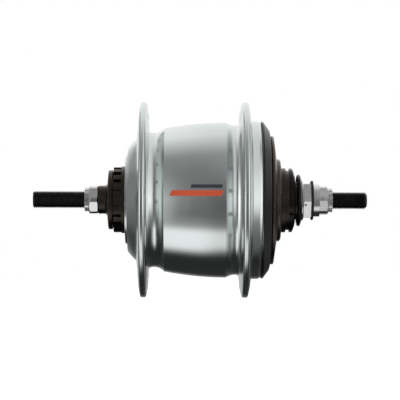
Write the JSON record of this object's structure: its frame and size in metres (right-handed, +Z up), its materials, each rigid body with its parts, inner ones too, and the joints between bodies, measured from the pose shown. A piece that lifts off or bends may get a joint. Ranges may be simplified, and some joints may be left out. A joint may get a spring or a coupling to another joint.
{
  "type": "bicycle hub gear",
  "caption": "Internally geared bicycle rear hub: spoked aluminium shell, splined brake boss, three-lug driver, threaded axle with cones and locknuts, two planetary stages inside.",
  "frame": {"origin": "on the axle centreline, midway between the outer faces of the two locknuts", "axes": "+Y along the axle to the brake side, -Y to the drive side, +Z up, +X the bicycle's direction of travel"},
  "size_m": [0.1078, 0.184, 0.1078],
  "materials": {
    "shell_alloy": "satin",
    "dark_steel": "satin",
    "black_thread": "satin",
    "zinc": "bright",
    "black_plastic": "satin",
    "brown_steel": "satin",
    "black_spring_steel": "satin",
    "rubber": "matte",
    "gear_steel": "satin",
    "carrier_steel": "satin",
    "bearing_steel": "polished",
    "cage_steel": "satin",
    "cage_plastic": "satin"
  },
  "bodies": {
    "axle_unit": {"axle": "black_thread", "locknut_left": "zinc", "locknut_right": "zinc", "toothed_washer_left": "zinc", "toothed_washer_right": "zinc", "left_cone": "dark_steel", "left_dust_cap": "dark_steel", "right_cone": "dark_steel", "right_seal": "black_spring_steel", "right_cone_nut": "zinc", "right_o_ring": "rubber", "right_spacer": "zinc", "sun_gear_reduction": "gear_steel", "sun_gear_high": "gear_steel", "sun_pawls_free": "carrier_steel", "thrust_washers": "carrier_steel"},
    "shell_unit": {"hub_shell": "shell_alloy", "brake_spline_ring": "dark_steel", "right_ball_cup": "dark_steel", "drive_dust_cap": "black_plastic", "clutch_race": "carrier_steel", "ring_gear_output": "gear_steel"},
    "driver_unit": {"driver": "dark_steel", "ring_gear_input": "gear_steel", "driver_dust_disc": "brown_steel", "driver_seal_ring": "brown_steel", "snap_ring": "black_spring_steel"},
    "carrier_unit": {"carrier_reduction": "carrier_steel", "planet_pins_reduction": "bearing_steel", "carrier_overdrive": "carrier_steel", "planet_pins_overdrive": "bearing_steel", "clutch_cam": "carrier_steel", "clutch_rollers": "bearing_steel", "roller_cage": "cage_plastic"},
    "planet_reduction_1_body": {"planet_reduction_1": "gear_steel"},
    "planet_reduction_2_body": {"planet_reduction_2": "gear_steel"},
    "planet_reduction_3_body": {"planet_reduction_3": "gear_steel"},
    "planet_overdrive_1_body": {"planet_overdrive_1": "gear_steel"},
    "planet_overdrive_2_body": {"planet_overdrive_2": "gear_steel"},
    "planet_overdrive_3_body": {"planet_overdrive_3": "gear_steel"},
    "sun_mid_body": {"sun_gear_mid": "gear_steel"},
    "sun_low_body": {"sun_gear_low": "gear_steel"},
    "left_bearing": {"left_balls": "bearing_steel", "left_ball_cage": "cage_steel"},
    "driver_bearing": {"driver_balls": "bearing_steel", "driver_ball_cage": "cage_steel"},
    "main_bearing": {"main_balls": "bearing_steel", "main_ball_cage": "cage_steel"},
    "shift_unit": {"shift_sleeve": "zinc"},
    "pawl_body": {"sun_pawl_high": "carrier_steel"}
  },
  "joints": [
    {"name": "shell_spin", "type": "hinge", "parent": "axle_unit", "child": "shell_unit", "pos_m": [0, 0, 0], "axis": [0, 1, 0], "continuous": true},
    {"name": "driver_spin", "type": "hinge", "parent": "axle_unit", "child": "driver_unit", "pos_m": [0, 0, 0], "axis": [0, 1, 0], "continuous": true},
    {"name": "carrier_spin", "type": "hinge", "parent": "axle_unit", "child": "carrier_unit", "pos_m": [0, 0, 0], "axis": [0, 1, 0], "continuous": true},
    {"name": "planet_reduction_1_spin", "type": "hinge", "parent": "carrier_unit", "child": "planet_reduction_1_body", "pos_m": [0.021, -0.0115, 0], "axis": [0, 1, 0], "continuous": true},
    {"name": "planet_reduction_2_spin", "type": "hinge", "parent": "carrier_unit", "child": "planet_reduction_2_body", "pos_m": [-0.0105, -0.0115, 0.01819], "axis": [0, 1, 0], "continuous": true},
    {"name": "planet_reduction_3_spin", "type": "hinge", "parent": "carrier_unit", "child": "planet_reduction_3_body", "pos_m": [-0.0105, -0.0115, -0.01819], "axis": [0, 1, 0], "continuous": true},
    {"name": "planet_overdrive_1_spin", "type": "hinge", "parent": "carrier_unit", "child": "planet_overdrive_1_body", "pos_m": [0.021, 0.024, 0], "axis": [0, 1, 0], "continuous": true},
    {"name": "planet_overdrive_2_spin", "type": "hinge", "parent": "carrier_unit", "child": "planet_overdrive_2_body", "pos_m": [-0.0105, 0.024, 0.01819], "axis": [0, 1, 0], "continuous": true},
    {"name": "planet_overdrive_3_spin", "type": "hinge", "parent": "carrier_unit", "child": "planet_overdrive_3_body", "pos_m": [-0.0105, 0.024, -0.01819], "axis": [0, 1, 0], "continuous": true},
    {"name": "sun_mid_spin", "type": "hinge", "parent": "axle_unit", "child": "sun_mid_body", "pos_m": [0, 0, 0], "axis": [0, 1, 0], "continuous": true},
    {"name": "sun_low_spin", "type": "hinge", "parent": "axle_unit", "child": "sun_low_body", "pos_m": [0, 0, 0], "axis": [0, 1, 0], "continuous": true},
    {"name": "left_bearing_spin", "type": "hinge", "parent": "axle_unit", "child": "left_bearing", "pos_m": [0, 0, 0], "axis": [0, 1, 0], "continuous": true},
    {"name": "driver_bearing_spin", "type": "hinge", "parent": "axle_unit", "child": "driver_bearing", "pos_m": [0, 0, 0], "axis": [0, 1, 0], "continuous": true},
    {"name": "main_bearing_spin", "type": "hinge", "parent": "axle_unit", "child": "main_bearing", "pos_m": [0, 0, 0], "axis": [0, 1, 0], "continuous": true},
    {"name": "shift_turn", "type": "hinge", "parent": "axle_unit", "child": "shift_unit", "pos_m": [0, 0, 0], "axis": [0, 1, 0], "range_deg": [-63, 47]},
    {"name": "pawl_high_swing", "type": "hinge", "parent": "axle_unit", "child": "pawl_body", "pos_m": [-0.00305, 0.0239, 0.0026], "axis": [0, 1, 0], "range_deg": [0, 18]}
  ],
  "couplings": [
    {"joint": "driver_spin", "follows": "shell_spin", "ratio": 1.1932},
    {"joint": "carrier_spin", "follows": "shell_spin", "ratio": 0.625},
    {"joint": "planet_reduction_1_spin", "follows": "shell_spin", "ratio": 1.5625},
    {"joint": "planet_reduction_2_spin", "follows": "shell_spin", "ratio": 1.5625},
    {"joint": "planet_reduction_3_spin", "follows": "shell_spin", "ratio": 1.5625},
    {"joint": "planet_overdrive_1_spin", "follows": "shell_spin", "ratio": 1.25},
    {"joint": "planet_overdrive_2_spin", "follows": "shell_spin", "ratio": 1.25},
    {"joint": "planet_overdrive_3_spin", "follows": "shell_spin", "ratio": 1.25},
    {"joint": "sun_mid_spin", "follows": "shell_spin", "ratio": -0.3125},
    {"joint": "sun_low_spin", "follows": "shell_spin", "ratio": -1.0417},
    {"joint": "left_bearing_spin", "follows": "shell_spin", "ratio": 0.578},
    {"joint": "driver_bearing_spin", "follows": "shell_spin", "ratio": 0.6825},
    {"joint": "main_bearing_spin", "follows": "shell_spin", "ratio": 1.0883}
  ]
}
